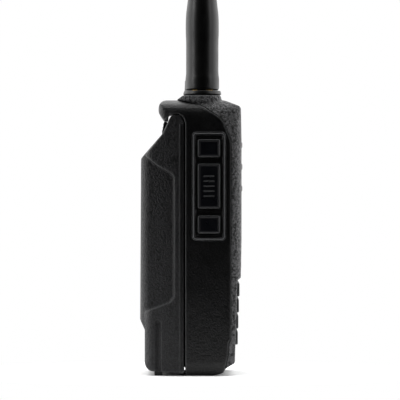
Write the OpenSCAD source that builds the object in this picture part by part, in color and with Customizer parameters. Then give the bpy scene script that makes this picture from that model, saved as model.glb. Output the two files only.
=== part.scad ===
// Handheld aviation radio. Front face towards -Y, battery towards +Y, antenna up.
// The origin lies on the surface that the radio stands on, under the middle of the body.

/* [Body] */
// Width of the body between its flat sides
body_w = 57; // [46:1:72]
// Height of the body up to the hood
body_h = 105.4; // [100:0.2:127]
// Reach of the front bezel forward of the origin
front_reach = 18.95; // [16.5:0.05:22.8]
// Reach of the rear wall behind the origin
rear_reach = 2.6; // [2:0.1:3.2]
// Wall thickness of the front cover and the rear housing
wall = 1.8; // [1.4:0.1:2.2]
// Radius of the corners seen from the front
front_corner_r = 6; // [4:0.5:9]
// Radius of the upright edges beside the front face
edge_r = 4; // [2:0.5:6]
// Slack left around pieces that move or are put in
slack = 0.25; // [0.15:0.05:0.4]

/* [Battery] */
// Gap between the rear wall and the battery
battery_gap = 0.5; // [0.3:0.1:1]
// Depth of the battery at its lower block
battery_depth = 15.05; // [12:0.05:18.2]
// How far the battery bulge stands behind the lower block
bulge_rise = 1.8; // [0.6:0.1:3]
// Wall thickness of the battery case
battery_wall = 1.6; // [1.2:0.1:2]
// Travel of the release latch
latch_travel = 2; // [1:0.25:2.5]
// Width of the release latch
latch_w = 20; // [14:1:26]

/* [Keys] */
// Width of one keypad key
key_w = 10; // [8:0.1:10.4]
// Height of one keypad key
key_h = 5.3; // [4.4:0.1:6.4]
// Gap between the key columns
key_gap_x = 1.6; // [1.2:0.1:3]
// Gap between the key rows
key_gap_z = 0.85; // [0.8:0.05:1.1]
// How far the keys stand out of the keypad field
key_rise = 1.05; // [0.6:0.05:1.6]
// Travel of a keypad key
key_travel = 0.5; // [0.3:0.05:0.6]
// Travel of the push-to-talk key and of its neighbours
side_key_travel = 0.6; // [0.4:0.05:0.7]
// How far the side keys stand out of the side panel
side_key_rise = 1.3; // [0.8:0.1:2]

/* [Top] */
// Place of the antenna across the body
antenna_x = -17; // [-20:0.5:-14]
// Radius of the antenna sleeve
antenna_r = 6.4; // [5:0.05:7.7]
// Length of the antenna sleeve
antenna_l = 98.4; // [60:0.2:180]
// Place of the volume knob across the body
knob_x = 14; // [10:0.5:17]
// Radius of the volume knob
knob_r = 6.9; // [5:0.1:8.3]
// Height of the volume knob
knob_h = 7; // [6:0.2:14]

/* [Front] */
// Width of the display window
window_w = 40; // [30:1:44]
// Height of the display window
window_h = 22; // [16:1:23]
// Radius of the speaker
speaker_r = 16; // [12:0.5:17]

/* [Hidden] */
$fn = 48;
KEYS = ["key_a1", "key_a2", "key_a3", "key_a4", "key_b1", "key_b2", "key_b3", "key_b4",
        "key_c1", "key_c2", "key_c3", "key_c4", "key_d1", "key_d2", "key_d3", "key_d4"];

// Places that several pieces share
half_w = body_w / 2;
front_y = -front_reach;
inner_w = half_w - wall;
split_y = front_y + 4.1;
nose_y = rear_reach + battery_gap + 4.9;
hood_y = nose_y + 4.85;
far = 400;

// Front face, from the top down: speaker, display window, step, keypad field
speaker_z = body_h - 25.4;
slot_pitch = 2.1;
slot_h = 1.1;
bar_h = 2.1;
bar_rise = 0.45;
window_z = speaker_z - speaker_r - 1 - window_h / 2;
window_t = 1.2;
window_edge = 2.5;
step_z = window_z - window_h / 2 - 4;
keypad_y = front_y + 1.65;
keypad_slope = 0.0354;
key_pitch_x = key_w + key_gap_x;
key_pitch_z = key_h + key_gap_z;
key_top_z = step_z - 1.5 - key_h / 2;
key_shoulder = 0.5;
mic_x = 18;
mic_z = window_z + window_h / 2 + 5;

// Layers behind the front face
board_front_y = front_y + 7.75;
board_t = 1.6;
mat_t = 1.2;
mat_front_y = board_front_y - mat_t;
key_back_y = mat_front_y - key_travel - 0.1;
board_back_y = board_front_y + board_t;
can_depth = 3.4;
plate_front_y = board_back_y + 4.6;
plate_t = 1.4;
board_half_w = inner_w - 5.2;
board_low_z = 6;
board_high_z = body_h - 14;
panel_front_y = front_y + wall + 0.4;
panel_t = 1.8;
mesh_y = front_y + wall + 0.25;
mesh_t = 0.3;
basket_y = mesh_y + mesh_t;
basket_l = 4;
seal_t = 0.8;

// Places of the screws
screw_x = inner_w - 2.6;
screw_low_z = wall + 5.2;
screw_high_z = body_h - 8.9;
housing_boss_r = 1.7;
housing_head_r = 1.4;
housing_screw_r = 0.8;
chassis_screw_x = board_half_w - 3.5;
chassis_screw_zs = [22, body_h - 29.4];
chassis_screw_r = 1;
chassis_boss_r = 2.8;
post_zs = [34, body_h - 41.4];

// Side keys: centre height and height of each, and the places of the bezel
bezel_front_y = front_y + 6.08;
bezel_back_y = rear_reach - 2.64;
bezel_low_z = body_h - 53.7;
bezel_high_z = body_h - 12.2;
rim_t = 1.2;
rim_rise = 0.8;
bezel_y = (bezel_front_y + bezel_back_y) / 2;
side_key_w = bezel_back_y - bezel_front_y - 4.23;
side_keys = [["ptt_button", body_h - 32.9, 17.2], ["upper_side_key", body_h - 18.45, 6.9],
             ["lower_side_key", body_h - 47.55, 6.9]];
floor_front_x = -half_w - 0.1;
floor_back_x = -half_w + 1.5;
flange_t = 0.7;
switch_front_x = floor_back_x + slack + flange_t + side_key_travel + 0.15;

// Antenna and knob
jack_r = 4.6;
stem_y = rear_reach - wall - jack_r - 0.1;
bushing_r = 4.2;
knob_y = rear_reach - wall - bushing_r - 0.1;
plateau_z = body_h + 1.9;
lens_r = 1.5;
jack_bore_r = 2.4;
jack_low_z = body_h - 10.4;
coupling_low_z = body_h + 2;
coupling_h = 1.8;
coupling_r = antenna_r + 0.95;
coupling_bore_r = 4.2;
whip_r = 1.6;
whip_share = 0.92;
sleeve_low_z = coupling_low_z + coupling_h + 0.3;
shaft_r = 3;
shaft_fit = 0.05;
control_low_z = body_h - 11.4;
knob_low_z = plateau_z + 0.3;

// Battery
tray_y = rear_reach + battery_gap;
tray_t = 1.8;
block_y = rear_reach + 0.5 + battery_depth;
bulge_y = block_y + bulge_rise;
battery_half_w = half_w - 0.6;
bulge_half_w = battery_half_w - 1.6;
slope_angle = 25.4;
nose_z = body_h - 5.8;
hip_y = tray_y + 8.2;
hip_z = body_h - 12.8;
shoulder_z = body_h - 22.3;
latch_top = 2.2;
latch_l = 5;
latch_low_rise = 0.5;
latch_rise = 1.9;
latch_depth = 1.5;
groove_y = tray_y + 9.95;
groove_w = 2.1;
groove_top_z = 21.2;
groove_floor = battery_half_w - 2;
contact_half_w = 9;
contact_low_z = 11;
contact_high_z = 18;
contact_pitch = 3.2;
charge_x = 8;
charge_half_w = 2.5;
charge_low_z = 6;
charge_high_z = 13;
board_z = shoulder_z - 7;
rail_x = 13;
rail_w = 1.4;
rail_rise = 1.2;
rail_low_z = 3;
rail_high_z = nose_z - 1.9;
rail_lift = 1.2;

// Far side: accessory jacks and their cover
cover_low_z = body_h - 43.4;
cover_high_z = body_h - 19.4;
cover_front_y = front_y + 6.95;
cover_hinge_y = rear_reach - 5.8;
anchor_front_y = cover_hinge_y + 1.2;
anchor_back_y = rear_reach - 0.85;
anchor_screw_y = (anchor_front_y + anchor_back_y) / 2;
anchor_screw_z = (cover_low_z + cover_high_z) / 2;
cover_recess = 1.2;
cover_lip = 0.7;
hinge_r = 0.95;
anchor_head_r = 1.5;
anchor_seat = 0.5;
jack_body_r = 3.2;
jack_places = [[body_h - 25.4, 1.8], [body_h - 36.4, 1.3]];
jack_y = (cover_front_y + cover_hinge_y) / 2;

// ---- Helpers -------------------------------------------------------------

// The direction from one point to another
function unit(v) = v / norm(v);

// The points that round one corner, between the corner before it and the one after it
function corner_points(before, at, after, r, n) =
    let (u = unit(before - at), v = unit(after - at), half = acos(u * v) / 2,
         reach = r / tan(half), centre = at + unit(u + v) * r / sin(half),
         first = at + u * reach - centre, last = at + v * reach - centre,
         a = atan2(first[1], first[0]), swing = atan2(last[1], last[0]) - a,
         turn = swing > 180 ? swing - 360 : swing < -180 ? swing + 360 : swing)
    [for (i = [0:n]) centre + r * [cos(a + turn * i / n), sin(a + turn * i / n)]];

// An outline whose corners [x, y, radius] are rounded
function rounded(pts, n = 6) = [for (i = [0:len(pts) - 1])
    let (c = pts[i], p = pts[(i + len(pts) - 1) % len(pts)], q = pts[(i + 1) % len(pts)])
    each c[2] <= 0.05 ? [[c[0], c[1]]]
        : corner_points([p[0], p[1]], [c[0], c[1]], [q[0], q[1]], c[2], n)];

// The same corners moved inwards by t, for an outline that runs anticlockwise
function inset(pts, t) = [for (i = [0:len(pts) - 1])
    let (c = [pts[i][0], pts[i][1]], p0 = pts[(i + len(pts) - 1) % len(pts)],
         q0 = pts[(i + 1) % len(pts)], u = unit(c - [p0[0], p0[1]]),
         v = unit([q0[0], q0[1]] - c), m = [-u[1], u[0]], n = [-v[1], v[0]],
         moved = c + (m + n) * t / (1 + m * n))
    [moved[0], moved[1], max(0, pts[i][2] - t)]];

// Corners of a box, with one radius
function box_pts(x0, y0, x1, y1, r) = [[x0, y0, r], [x1, y0, r], [x1, y1, r], [x0, y1, r]];

// An outline in Y and Z, drawn out along X between two places
module along_x(x0, x1, pts, n = 6) {
    translate([x0, 0, 0]) rotate([90, 0, 90]) linear_extrude(x1 - x0) polygon(rounded(pts, n));
}

// An outline in X and Z, drawn out along Y between two places
module along_y(y0, y1, pts, n = 6) {
    translate([0, y1, 0]) rotate([90, 0, 0]) linear_extrude(y1 - y0) polygon(rounded(pts, n));
}

// An outline in X and Y, drawn up along Z between two places
module along_z(z0, z1, pts, n = 6) {
    translate([0, 0, z0]) linear_extrude(z1 - z0) polygon(rounded(pts, n));
}

// A block with rounded upright edges
module block(x0, x1, y0, y1, z0, z1, r = 0) {
    along_z(z0, z1, box_pts(x0, y0, x1, y1, r));
}

// A round bar along X, from one place to another
module bar_x(x0, x1, y, z, r, fn = 48) {
    translate([x0, y, z]) rotate([0, 90, 0]) cylinder(h = x1 - x0, r = r, $fn = fn);
}

// A round bar along Y, from one place to another
module bar_y(x, y0, y1, z, r, fn = 48) {
    translate([x, y0, z]) rotate([-90, 0, 0]) cylinder(h = y1 - y0, r = r, $fn = fn);
}

// A round bar along Z, from one place to another
module bar_z(x, y, z0, z1, r, fn = 48) {
    translate([x, y, z0]) cylinder(h = z1 - z0, r = r, $fn = fn);
}

// ---- Outlines of the body ------------------------------------------------

// Side outline of the body without its hood
core_side = [
    [front_y + 2.6, 4.9, 0.8], [front_y + 5.9, 2.9, 0.8], [front_y + 7.2, 0.9, 0.8],
    [front_y + 10.95, 0, 1], [front_y + 14.15, 0, 1], [rear_reach, 0.7, 0],
    [rear_reach, body_h, 0], [front_y + 6.6, body_h, 4], [front_y + 0.25, body_h - 2.5, 1.6],
    [front_y, body_h - 16.4, 0], [front_y, step_z + 15, 0], [front_y + 0.3, step_z + 0.5, 0.3],
    [keypad_y, step_z - 0.6, 0.3]];

// Side outline of the hood, whose hollow takes the nose of the battery
hood_side = [
    [rear_reach - 0.5, nose_z - 3.2, 0], [rear_reach, nose_z - 3.2, 0],
    [tray_y - 0.3, nose_z - 2.6, 0], [tray_y + 0.2, nose_z - 0.9, 0],
    [tray_y + 1.9, nose_z + 0.5, 0], [tray_y + 4.2, nose_z + 0.8, 0],
    [nose_y + 1.4, nose_z + 0.8, 0.4], [nose_y + 1.5, nose_z - 1.7, 0.7],
    [nose_y + 3, nose_z - 1.7, 0.7], [hood_y, nose_z + 1, 2], [hood_y - 0.1, body_h, 3],
    [rear_reach - 0.5, body_h, 0]];

// What lies forward of the line between the front cover and the rear housing
front_side = [
    [front_y - 5, -5, 0], [front_y + 6.35, -5, 0], [front_y + 6.35, 2.5, 0],
    [split_y + 0.95, 8, 3], [split_y + 0.9, 12.4, 0.8], [split_y, 13.7, 0.8],
    [split_y, body_h - 15.4, 6], [split_y + 3.25, body_h - 7.4, 5],
    [split_y + 11.65, body_h - 1.8, 8], [split_y + 19.5, body_h, 0],
    [split_y + 21.4, body_h, 0], [split_y + 21.4, body_h + 5, 0],
    [front_y - 5, body_h + 5, 0]];

// The body's outline from the front, t inside its outer faces
module front_outline(t) {
    along_y(-far, far, inset(box_pts(-half_w, -1, half_w, body_h, front_corner_r), t));
}

// The body's outline from above, t inside its outer faces
module top_outline(t) {
    along_z(-10, body_h + 10, inset(box_pts(-half_w, front_y, half_w, hood_y, edge_r), t), 8);
}

// The outside of the body with its hood
module body_outside() {
    intersection() {
        union() {
            along_x(-half_w, half_w, core_side);
            along_x(-half_w, half_w, hood_side);
        }
        front_outline(0);
        top_outline(0);
    }
}

// The hollow of the body, t inside its outer faces
module body_hollow(t) {
    intersection() {
        along_x(-half_w + t, half_w - t, inset(core_side, t));
        front_outline(t);
        top_outline(t);
    }
}

// Everything forward of the split line
module split_zone() {
    along_x(-far, far, front_side, 8);
}

// What the front cover takes: it has the whole of the keypad's wall between the side walls
module front_zone() {
    split_zone();
    block(-inner_w, inner_w, -far, split_y + 1.3, 10, step_z);
}

// The front face of the keypad field at a height
function field_y(z) = keypad_y + (step_z - 0.6 - z) * keypad_slope;

// ---- Keypad --------------------------------------------------------------

// The middle of a key, from its place 0 to 15 in the field
function key_x(i) = (i % 4 - 1.5) * key_pitch_x;
function key_z(i) = key_top_z - floor(i / 4) * key_pitch_z;

// Outline of a key, grown on all sides
function key_pts(i, grow) = box_pts(key_x(i) - key_w / 2 - grow, key_z(i) - key_h / 2 - grow,
    key_x(i) + key_w / 2 + grow, key_z(i) + key_h / 2 + grow, 0.9 + grow);

// One keypad key, with the shoulders that keep it behind the cover
module keypad_key(i) {
    face = field_y(key_z(i));
    shoulder = face + wall + 0.15;
    color([0.13, 0.13, 0.14]) union() {
        along_y(face - key_rise, key_back_y, key_pts(i, 0));
        along_y(shoulder, shoulder + 0.8, box_pts(key_x(i) - key_w / 2 - key_shoulder,
            key_z(i) - key_h / 2 + 1, key_x(i) + key_w / 2 + key_shoulder,
            key_z(i) + key_h / 2 - 1, 0));
    }
}

module keypad_mat() {
    color([0.45, 0.46, 0.46]) union() {
        along_y(mat_front_y, board_front_y, box_pts(-board_half_w, board_low_z + 2.5,
            board_half_w, step_z - 0.5, 1));
    }
}

// ---- Casings -------------------------------------------------------------

// Width of the speaker field at a height above or below its middle
function field_half(h) = sqrt(max(1, pow(speaker_r - 1.5, 2) - h * h));

module front_cover() {
    color([0.11, 0.11, 0.12]) difference() {
        union() {
            intersection() {
                difference() {
                    body_outside();
                    body_hollow(wall);
                }
                front_zone();
            }
            // plateau under the antenna and the knob
            intersection() {
                along_x(antenna_x - 9.5, knob_x + 9.5, [[front_y + 7.5, body_h - 0.6, 0],
                    [split_y + 21, body_h - 0.6, 0], [split_y + 21, body_h, 0],
                    [split_y + 18.2, plateau_z, 1.2], [front_y + 8, plateau_z, 0.6]]);
                along_z(body_h - 1, plateau_z + 1, box_pts(antenna_x - 9.5, front_y + 7.4,
                    knob_x + 9.5, split_y + 21.2, 7));
                split_zone();
            }
            // raised bars over the speaker
            for (k = [-4, 0, 4]) raised_bar(speaker_z + k * slot_pitch);
            for (x = [-screw_x, screw_x], z = [screw_low_z, screw_high_z])
                bar_y(x, boss_front(z), plate_front_y - 1, z, housing_boss_r);
        }
        for (i = [0:15]) along_y(front_y - 5, front_y + 8, key_pts(i, slack));
        for (k = [-5, -3, -2, -1, 1, 2, 3, 5]) speaker_slot(k * slot_pitch);
        display_recess();
        bar_y(mic_x, front_y - 2, front_y + 5, mic_z, 0.7);
        top_holes();
        for (x = [-screw_x, screw_x], z = [screw_low_z, screw_high_z])
            bar_y(x, plate_front_y - 6, plate_front_y, z, housing_screw_r);
    }
}

// Holes for the antenna jack, the knob bushing and the status lens
module top_holes() {
    bar_z(antenna_x, stem_y, body_h - 6, plateau_z + 1, jack_r + 0.1);
    bar_z(knob_x, knob_y, body_h - 6, plateau_z + 1, bushing_r + 0.05);
    bar_z(0, stem_y, body_h - 6, plateau_z + 1, lens_r + 0.05);
}

// Where the boss of a housing screw meets the inside of the front wall
function boss_front(z) = (z < step_z ? field_y(z) : front_y) + wall - 0.3;

// One raised bar of the speaker grille
module raised_bar(z) {
    half = field_half(z - speaker_z);
    along_z(z - bar_h / 2, z + bar_h / 2, [[-half, front_y + 0.5, 0], [half, front_y + 0.5, 0],
        [half, front_y, 0], [half - 2.5, front_y - bar_rise, 0],
        [2.5 - half, front_y - bar_rise, 0], [-half, front_y, 0]]);
}

// One slot of the speaker grille
module speaker_slot(h) {
    half = field_half(h) - 0.5;
    along_y(front_y - 2, front_y + 4, box_pts(-half, speaker_z + h - slot_h / 2,
        half, speaker_z + h + slot_h / 2, slot_h * 0.49), 4);
}

// The recess of the display window, and the opening behind it
module display_recess() {
    along_y(front_y - 1, front_y + window_t + 0.1, box_pts(-window_w / 2 - 0.05,
        window_z - window_h / 2 - 0.05, window_w / 2 + 0.05, window_z + window_h / 2 + 0.05, 2));
    along_y(front_y - 1, front_y + 5, box_pts(window_edge - window_w / 2,
        window_z - window_h / 2 + window_edge, window_w / 2 - window_edge,
        window_z + window_h / 2 - window_edge, 1));
}

module rear_housing() {
    color([0.07, 0.07, 0.08]) difference() {
        union() {
            difference() {
                body_outside();
                body_hollow(wall);
                front_zone();
            }
            for (x = [-chassis_screw_x, chassis_screw_x], z = chassis_screw_zs)
                bar_y(x, plate_front_y + plate_t, rear_reach - wall + 0.3, z, chassis_boss_r);
            for (x = [-screw_x, screw_x], z = [screw_low_z, screw_high_z])
                bar_y(x, plate_front_y - 1, rear_reach - wall + 0.3, z, housing_boss_r);
            // rails that guide the battery
            for (s = [-1, 1]) scale_side(s) block(rail_x, rail_x + rail_w, rear_reach - 0.3,
                rear_reach + rail_rise, rail_low_z, rail_high_z);
        }
        // opening of the side key bezel
        along_x(-far, -inner_w + 1, bezel_pts(0));
        // recess of the jack cover, the jacks and the hole of the cover's screw
        along_x(half_w - cover_recess, far, box_pts(cover_front_y - slack, cover_low_z - slack,
            anchor_back_y + 0.05, cover_high_z + slack, 1));
        for (j = jack_places) bar_x(inner_w - 1, half_w, jack_y, j[0], jack_body_r + 0.05);
        bar_x(inner_w - 1, half_w, anchor_screw_y, anchor_screw_z, 1);
        // contact block
        block(-contact_half_w, contact_half_w, 0, rear_reach + 1, contact_low_z,
            contact_high_z);
        // screws
        for (x = [-chassis_screw_x, chassis_screw_x], z = chassis_screw_zs)
            bar_y(x, plate_front_y, rear_reach - 1, z, chassis_screw_r + 0.02);
        for (x = [-screw_x, screw_x], z = [screw_low_z, screw_high_z]) {
            bar_y(x, plate_front_y - 2, rear_reach + 1, z, housing_screw_r + 0.15);
            bar_y(x, rear_reach - 1.4, rear_reach + 0.4, z, housing_head_r + 0.15);
        }
        top_holes();
    }
}

// ---- Display, speaker, microphone ----------------------------------------

module display_window() {
    color([0.03, 0.04, 0.05]) along_y(front_y + 0.1, front_y + window_t + 0.1,
        box_pts(-window_w / 2, window_z - window_h / 2, window_w / 2,
            window_z + window_h / 2, 1.95));
}

module display_panel() {
    color([0.5, 0.55, 0.5]) along_y(panel_front_y, panel_front_y + panel_t,
        box_pts(1 - window_w / 2, window_z - window_h / 2 + 1, window_w / 2 - 1,
            window_z + window_h / 2 - 1, 0));
}

module display_frame() {
    color([0.75, 0.75, 0.72]) difference() {
        along_y(panel_front_y, board_front_y, box_pts(-window_w / 2, window_z - window_h / 2,
            window_w / 2, window_z + window_h / 2, 1));
        along_y(panel_front_y - 1, panel_front_y + panel_t, box_pts(1 - window_w / 2,
            window_z - window_h / 2 + 1, window_w / 2 - 1, window_z + window_h / 2 - 1, 0));
        along_y(panel_front_y, board_front_y + 1, box_pts(4 - window_w / 2,
            window_z - window_h / 2 + 4, window_w / 2 - 4, window_z + window_h / 2 - 4, 0));
    }
}

// A ring or cup turned about the speaker's axis, from points [radius, depth]
module turned_on_speaker(pts) {
    translate([0, basket_y, speaker_z]) rotate([-90, 0, 0]) rotate_extrude() polygon(pts);
}

module speaker_mesh() {
    color([0.1, 0.1, 0.1]) bar_y(0, mesh_y, basket_y, speaker_z, speaker_r);
}

module speaker_basket() {
    back = basket_l - 1;
    color([0.6, 0.6, 0.62]) turned_on_speaker([[speaker_r - 1, 0], [speaker_r, 0],
        [speaker_r, basket_l], [0, basket_l], [0, back], [speaker_r - 1, back]]);
}

module speaker_cone() {
    color([0.25, 0.25, 0.25]) turned_on_speaker([[speaker_r - 1, 0.1], [speaker_r - 1, 0.5],
        [speaker_r * 0.6, 1.3], [0, 1.3], [0, 0.9], [speaker_r * 0.6, 0.9]]);
}

module speaker_magnet() {
    color([0.3, 0.3, 0.32]) turned_on_speaker([[0, 1.5], [speaker_r * 0.5, 1.5],
        [speaker_r * 0.5, basket_l - 1], [0, basket_l - 1]]);
}

module microphone() {
    color([0.7, 0.7, 0.7]) bar_y(mic_x, board_front_y - 2.5, board_front_y, mic_z, 2.2);
}

// ---- Boards and chassis --------------------------------------------------

module main_board() {
    color([0.1, 0.35, 0.2]) along_y(board_front_y, board_back_y, box_pts(-board_half_w,
        board_low_z, board_half_w, board_high_z, 1.5));
}

module shield_cans() {
    color([0.78, 0.78, 0.8]) union() {
        for (z = [[board_low_z + 5, step_z], [step_z + 4, board_high_z - 6]])
            along_y(board_back_y, board_back_y + can_depth, box_pts(5.5 - board_half_w,
                z[0], board_half_w - 5.5, z[1], 1));
    }
}

module chassis_plate() {
    color([0.65, 0.66, 0.68]) difference() {
        union() {
            along_y(plate_front_y, plate_front_y + plate_t, box_pts(-board_half_w,
                board_low_z, board_half_w, board_high_z - 2, 1.5));
            for (x = [-1, 1], z = post_zs)
                bar_y(x * (board_half_w - 2.2), board_back_y, plate_front_y, z, 1.8);
        }
        for (x = [-chassis_screw_x, chassis_screw_x], z = chassis_screw_zs)
            bar_y(x, plate_front_y - 1, plate_front_y + plate_t + 1, z,
                chassis_screw_r + 0.2);
    }
}

// A screw along Y, with a round head and a hexagon socket
module screw_y(x, y, z, shaft_r, shaft_l, head_r, head_l, back) {
    translate([x, y, z]) rotate([back ? 90 : -90, 0, 0]) difference() {
        union() {
            cylinder(h = shaft_l, r = shaft_r);
            translate([0, 0, -head_l]) cylinder(h = head_l, r = head_r);
        }
        translate([0, 0, -head_l - 0.1]) cylinder(h = head_l * 0.6, r = head_r * 0.5, $fn = 6);
    }
}

module chassis_screws() {
    color([0.8, 0.8, 0.78])
        for (x = [-chassis_screw_x, chassis_screw_x], z = chassis_screw_zs)
            screw_y(x, plate_front_y, z, chassis_screw_r, 4.6, 1.9, 1, false);
}

module housing_screws() {
    color([0.3, 0.3, 0.32])
        for (x = [-screw_x, screw_x], z = [screw_low_z, screw_high_z])
            screw_y(x, rear_reach - 1.4, z, housing_screw_r, 8, housing_head_r, 1, true);
}

module main_seal() {
    color([0.2, 0.2, 0.22]) difference() {
        intersection() {
            body_hollow(wall);
            difference() {
                translate([0, 0.6, -0.6]) split_zone();
                translate([0, -0.6, 0.6]) split_zone();
            }
        }
        body_hollow(wall + seal_t);
        block(seal_t - inner_w, inner_w - seal_t, -far, split_y + 3, 5, body_h - 18);
        bar_z(antenna_x, stem_y, 0, body_h + 5, jack_r + 1.2);
        bar_z(knob_x, knob_y, 0, body_h + 5, bushing_r + 0.2);
        bar_z(0, stem_y, 0, body_h + 5, lens_r + 0.6);
        block(knob_x - 6.5, knob_x + 6.5, knob_y - 6, knob_y + 6, control_low_z - 0.3,
            body_h - 3);
    }
}

// ---- Side keys -----------------------------------------------------------

// Outline of the side key bezel, grown on all sides
function bezel_pts(grow) = box_pts(bezel_front_y - grow, bezel_low_z - grow,
    bezel_back_y + grow, bezel_high_z + grow, max(0, 1.5 + grow));

// Outline of a side key, grown on all sides
function side_key_pts(z, h, grow) = box_pts(bezel_y - side_key_w / 2 - grow, z - h / 2 - grow,
    bezel_y + side_key_w / 2 + grow, z + h / 2 + grow, 0.8 + grow);

module side_key_bezel() {
    color([0.09, 0.09, 0.1]) difference() {
        along_x(-half_w - rim_rise, floor_back_x, bezel_pts(0));
        along_x(-half_w - 5, floor_front_x, inset(bezel_pts(0), rim_t));
        for (k = side_keys) along_x(-half_w - 5, -half_w + 5, side_key_pts(k[1], k[2], slack));
    }
}

// One side key, with the flange that keeps it behind the bezel
module side_key(k) {
    flange_x = floor_back_x + slack;
    color([0.1, 0.11, 0.13]) union() {
        along_x(-half_w - side_key_rise, flange_x + flange_t, side_key_pts(k[1], k[2], 0));
        along_x(flange_x, flange_x + flange_t, side_key_pts(k[1], k[2], 0.7));
    }
}

module side_switch_board() {
    color([0.1, 0.3, 0.2]) union() {
        block(switch_front_x + 0.5, switch_front_x + 1.3, bezel_front_y + 0.8,
            bezel_back_y - 0.8, bezel_low_z + 1, bezel_high_z - 4);
        for (k = side_keys) bar_x(switch_front_x, switch_front_x + 0.5, bezel_y, k[1], 2);
    }
}

// ---- Antenna -------------------------------------------------------------

module antenna_jack() {
    color([0.75, 0.7, 0.5]) difference() {
        union() {
            bar_z(antenna_x, stem_y, jack_low_z, coupling_low_z + coupling_h - 1,
                coupling_bore_r - 0.3);
            bar_z(antenna_x, stem_y, jack_low_z, plateau_z - 0.5, jack_r);
        }
        bar_z(antenna_x, stem_y, coupling_low_z - 4, body_h + 20, jack_bore_r);
    }
}

module antenna_coupling() {
    color([0.05, 0.05, 0.05]) translate([antenna_x, stem_y, coupling_low_z])
        rotate_extrude() polygon([[coupling_bore_r, 0], [coupling_r - 0.5, 0],
            [coupling_r, 0.5], [coupling_r - 0.4, coupling_h], [coupling_bore_r, coupling_h]]);
}

// Radius of the antenna sleeve at a share of its length
sleeve_shape = [[0, 0.93], [0.005, 1], [0.042, 1.01], [0.06, 0.98], [0.08, 0.972], [0.19, 0.972],
    [0.22, 0.992], [0.27, 0.992], [0.3, 0.965], [0.33, 0.91], [0.37, 0.85], [0.5, 0.78],
    [0.97, 0.66], [0.995, 0.58], [1, 0.45]];

module antenna_sleeve() {
    color([0.04, 0.04, 0.04]) translate([antenna_x, stem_y, sleeve_low_z]) difference() {
        rotate_extrude() polygon(concat([[0, 0]],
            [for (s = sleeve_shape) [s[1] * antenna_r, s[0] * antenna_l]], [[0, antenna_l]]));
        translate([0, 0, -1]) cylinder(h = antenna_l * whip_share + 1.5, r = whip_r + 0.1);
    }
}

module antenna_whip() {
    color([0.8, 0.7, 0.4]) bar_z(antenna_x, stem_y, sleeve_low_z + 6,
        sleeve_low_z + antenna_l * whip_share, whip_r);
}

module antenna_plug() {
    top_z = coupling_low_z + coupling_h;
    color([0.8, 0.75, 0.55]) union() {
        bar_z(antenna_x, stem_y, top_z - 0.8, sleeve_low_z, coupling_bore_r - 0.1);
        bar_z(antenna_x, stem_y, coupling_low_z - 3, sleeve_low_z + 6, whip_r);
    }
}

// ---- Knob and lens -------------------------------------------------------

module volume_knob() {
    color([0.06, 0.06, 0.06]) translate([knob_x, knob_y, knob_low_z]) difference() {
        rotate_extrude() polygon([[0, 0], [knob_r, 0], [knob_r, 1], [knob_r - 0.35, 1.3],
            [knob_r - 0.5, knob_h - 0.7], [knob_r - 1.2, knob_h], [0, knob_h]]);
        for (a = [0:20:340]) rotate([0, 0, a]) translate([knob_r + 0.25, 0, 1.6])
            cylinder(h = knob_h - 3.2, r = 0.55, $fn = 16);
        translate([0, 0, -1]) cylinder(h = knob_h * 0.7 + 1, r = shaft_r);
    }
}

module knob_shaft() {
    color([0.8, 0.8, 0.8]) bar_z(knob_x, knob_y, control_low_z + 3,
        knob_low_z + knob_h * 0.7, shaft_r);
}

module volume_control() {
    color([0.35, 0.36, 0.38]) difference() {
        union() {
            block(knob_x - 6, knob_x + 6, knob_y - 4.4, rear_reach - wall - 0.3, control_low_z,
                body_h - 3.4, 1);
            bar_z(knob_x, knob_y, control_low_z, plateau_z - 0.3, bushing_r);
        }
        bar_z(knob_x, knob_y, control_low_z + 2.5, body_h + 10, shaft_r + shaft_fit);
    }
}

module status_lens() {
    color([0.7, 0.75, 0.7]) bar_z(0, stem_y, body_h - 4, plateau_z + 0.3, lens_r);
}

// ---- Battery -------------------------------------------------------------

// Side outline of the battery at its full width
battery_side = [
    [tray_y, 0.95, 0.3], [block_y - 6, 1.5, 0], [block_y, 1.9, 3.2],
    [block_y, 24.6, 0], [block_y - 5.4, 26.5, 0], [block_y - 9.5, 28.1, 1],
    [block_y - 11.35, 30, 1], [block_y - 11.35, body_h - 29.6, 1],
    [block_y - 10.2, body_h - 28, 1], [block_y - 4.9, body_h - 25, 0],
    [block_y - 0.1, shoulder_z + 1.2, 0.6], [hip_y, hip_z, 4], [nose_y, nose_z, 1.7],
    [tray_y, nose_z, 2.8]];

// Side outline of the narrower bulge
bulge_side = [
    [block_y - 12, 20, 0], [block_y - 0.05, 17.4, 0.8], [bulge_y, 21.4, 1.2],
    [bulge_y - 0.35, shoulder_z, 1.5], [hip_y, hip_z, 0], [block_y - 12, hip_z, 0]];

// Outline from above, which draws in towards a back face
function battery_top(w, back) = [[-w, tray_y - 5, 0], [w, tray_y - 5, 0], [w, tray_y + 4, 50],
    [w - 2.2, back, 4.5], [2.2 - w, back, 4.5], [-w, tray_y + 4, 50]];

// Side outline of the hollow
battery_hollow = [
    [tray_y + tray_t, 3, 0.5], [block_y - battery_wall, 3.6, 1],
    [block_y - battery_wall, shoulder_z - 1.5, 1], [hip_y - 1.3, hip_z - 3.5, 1],
    [tray_y + tray_t, hip_z - 1.5, 1]];

// The outside of the battery
module battery_outside() {
    intersection() {
        along_x(-battery_half_w, battery_half_w, battery_side);
        along_y(-far, far, box_pts(-battery_half_w, -10, battery_half_w, nose_z + 5, 4));
        along_z(-10, body_h, battery_top(battery_half_w, block_y + 0.5), 8);
    }
    intersection() {
        along_x(-bulge_half_w, bulge_half_w, bulge_side);
        along_z(-10, body_h, battery_top(bulge_half_w, bulge_y + 0.05), 8);
    }
}

// What lies within the tray's thickness
module tray_zone() {
    block(-far, far, -far, tray_y + tray_t, -far, nose_z - 3);
}

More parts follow.
